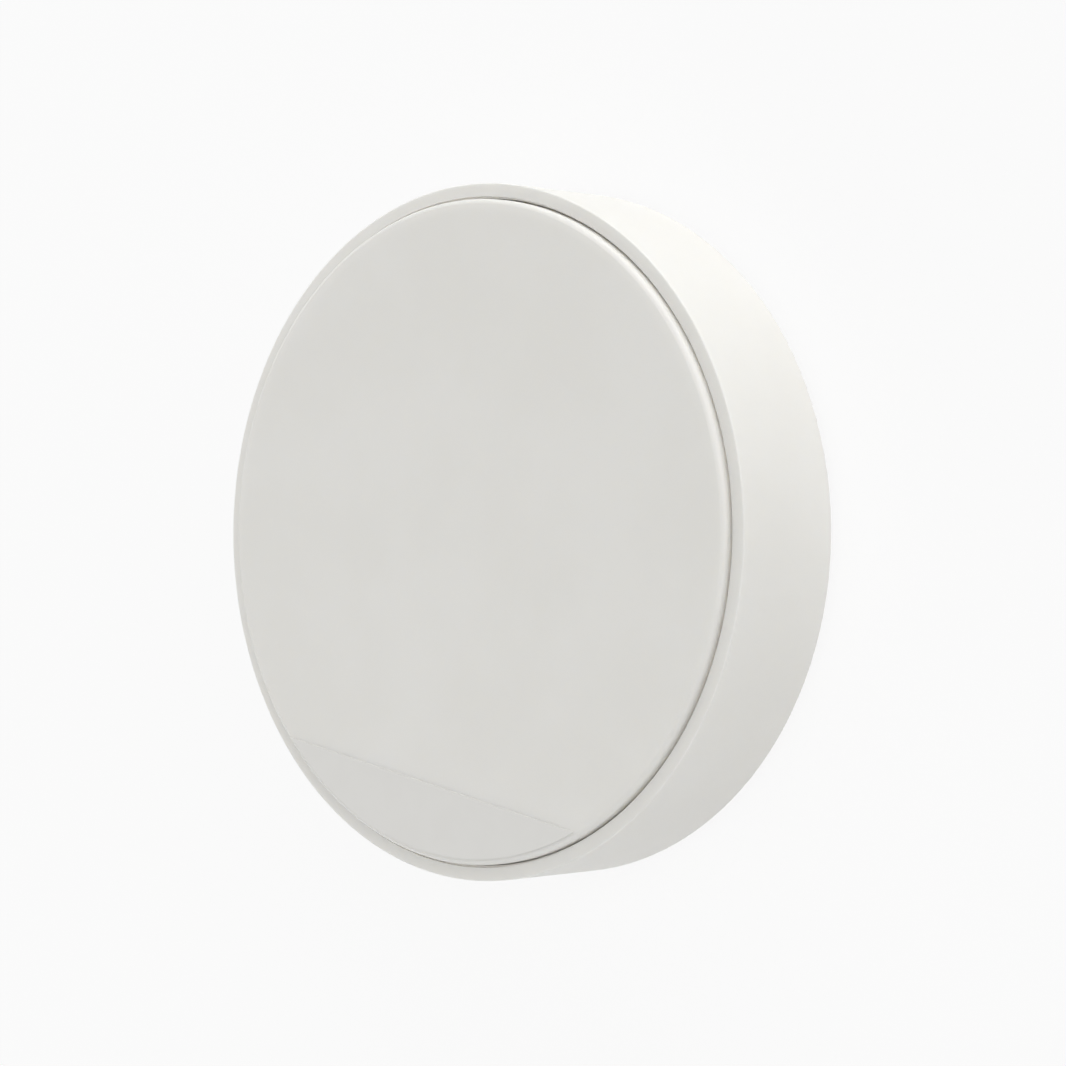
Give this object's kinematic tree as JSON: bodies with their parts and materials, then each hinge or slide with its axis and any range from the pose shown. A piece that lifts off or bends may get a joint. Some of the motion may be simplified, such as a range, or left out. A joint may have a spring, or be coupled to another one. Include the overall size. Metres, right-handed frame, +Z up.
{
  "type": "water leak sensor",
  "caption": "Round puck water leak sensor with a press-in front cover, metal floor probes and a coin-turn battery door on the back.",
  "frame": {"origin": "on the floor under the centre of the round case, in the plane of the three probe tips", "axes": "+Z up out of the front cover, -Y towards the clear film on the cover, +X towards the marks on the battery door"},
  "size_m": [0.07, 0.07, 0.0154],
  "materials": {
    "case_plastic": "fine matt moulded off-white",
    "cover_plastic": "fine matt moulded off-white",
    "clear_film": "clear satin film",
    "clear_rubber": "translucent silicone",
    "black_plastic": "matt black",
    "plunger_plastic": "satin dark grey",
    "lamp_lens": "pale yellow lens",
    "board_laminate": "green solder mask",
    "tin_contact": "bright tin plate",
    "cell_steel": "brushed nickel plate",
    "base_plastic": "coarse matt moulded off-white",
    "door_plastic": "matt moulded off-white",
    "seal_rubber": "black seal rubber",
    "screw_steel": "zinc plated",
    "module_laminate": "blue solder mask",
    "shield_metal": "tinned sheet",
    "antenna_ceramic": "fired ceramic",
    "capacitor_can": "drawn aluminium",
    "probe_steel": "polished stainless steel",
    "spacer_brass": "turned brass"
  },
  "bodies": {
    "case": {"housing": "case_plastic", "button_membrane": "clear_rubber", "switch_body": "black_plastic", "status_led": "lamp_lens", "circuit_board": "board_laminate", "battery_holder": "black_plastic", "positive_contact": "tin_contact", "negative_contact": "tin_contact", "coin_cell": "cell_steel", "base_plate": "base_plastic", "case_seal": "seal_rubber", "case_screws": "screw_steel", "probe_stud_1": "probe_steel", "probe_stud_2": "probe_steel", "probe_stud_3": "probe_steel", "probe_seal_1": "seal_rubber", "probe_seal_2": "seal_rubber", "probe_seal_3": "seal_rubber", "probe_spacer_1": "spacer_brass", "probe_spacer_2": "spacer_brass", "probe_spacer_3": "spacer_brass", "radio_module": "module_laminate", "module_shield": "shield_metal", "chip_antenna": "antenna_ceramic", "reservoir_capacitor": "capacitor_can"},
    "press_cover": {"front_cover": "cover_plastic", "label_film": "clear_film"},
    "switch_plunger": {"switch_plunger": "plunger_plastic"},
    "door_ring": {"door_seal": "seal_rubber"},
    "battery_door": {"battery_door": "door_plastic"}
  },
  "joints": [
    {"name": "cover_press", "type": "slide", "parent": "case", "child": "press_cover", "axis": [0, 0, -1], "range_m": [0, 0.0003], "stiffness_N_per_m": 4000, "springref_m": -0.0002, "deforming": ["button_membrane"]},
    {"name": "switch_press", "type": "slide", "parent": "case", "child": "switch_plunger", "axis": [0, 0, -1], "range_m": [0, 0.0003]},
    {"name": "door_lift", "type": "slide", "parent": "case", "child": "door_ring", "axis": [0, 0, -1], "range_m": [0, 0.003]},
    {"name": "door_turn", "type": "hinge", "parent": "door_ring", "child": "battery_door", "pos_m": [0, 0, 0.0011], "axis": [0, 0, -1], "range_deg": [0, 90]}
  ],
  "couplings": [
    {"joint": "switch_press", "follows": "cover_press", "ratio": 1},
    {"joint": "door_lift", "follows": "door_turn", "m_per_rad": 0.0019099}
  ]
}
